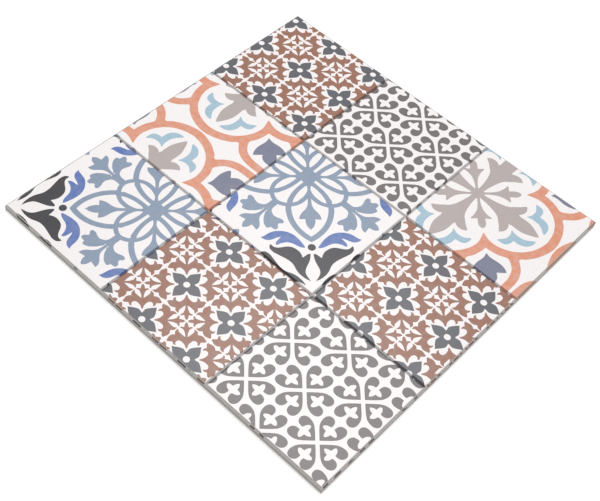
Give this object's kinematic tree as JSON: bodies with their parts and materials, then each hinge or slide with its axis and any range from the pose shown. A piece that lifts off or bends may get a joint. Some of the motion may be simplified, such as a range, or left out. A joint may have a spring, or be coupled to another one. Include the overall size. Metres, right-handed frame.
{
  "type": "vinyl mosaic tile sheet",
  "caption": "Flat square vinyl sheet with a printed patchwork face, parted into square tiles by pressed V-grooves and bevelled round its rim, for covering floors and walls.",
  "frame": {"origin": "centre of the sheet's flat back face", "axes": "+Z out of the printed face, +X and +Y along the sheet's sides"},
  "size_m": [0.3, 0.3, 0.005],
  "materials": {
    "vinyl": "printed vinyl, satin face and matt grey cut sides"
  },
  "bodies": {
    "root": {"vinyl_tile_sheet": "vinyl"}
  },
  "joints": []
}
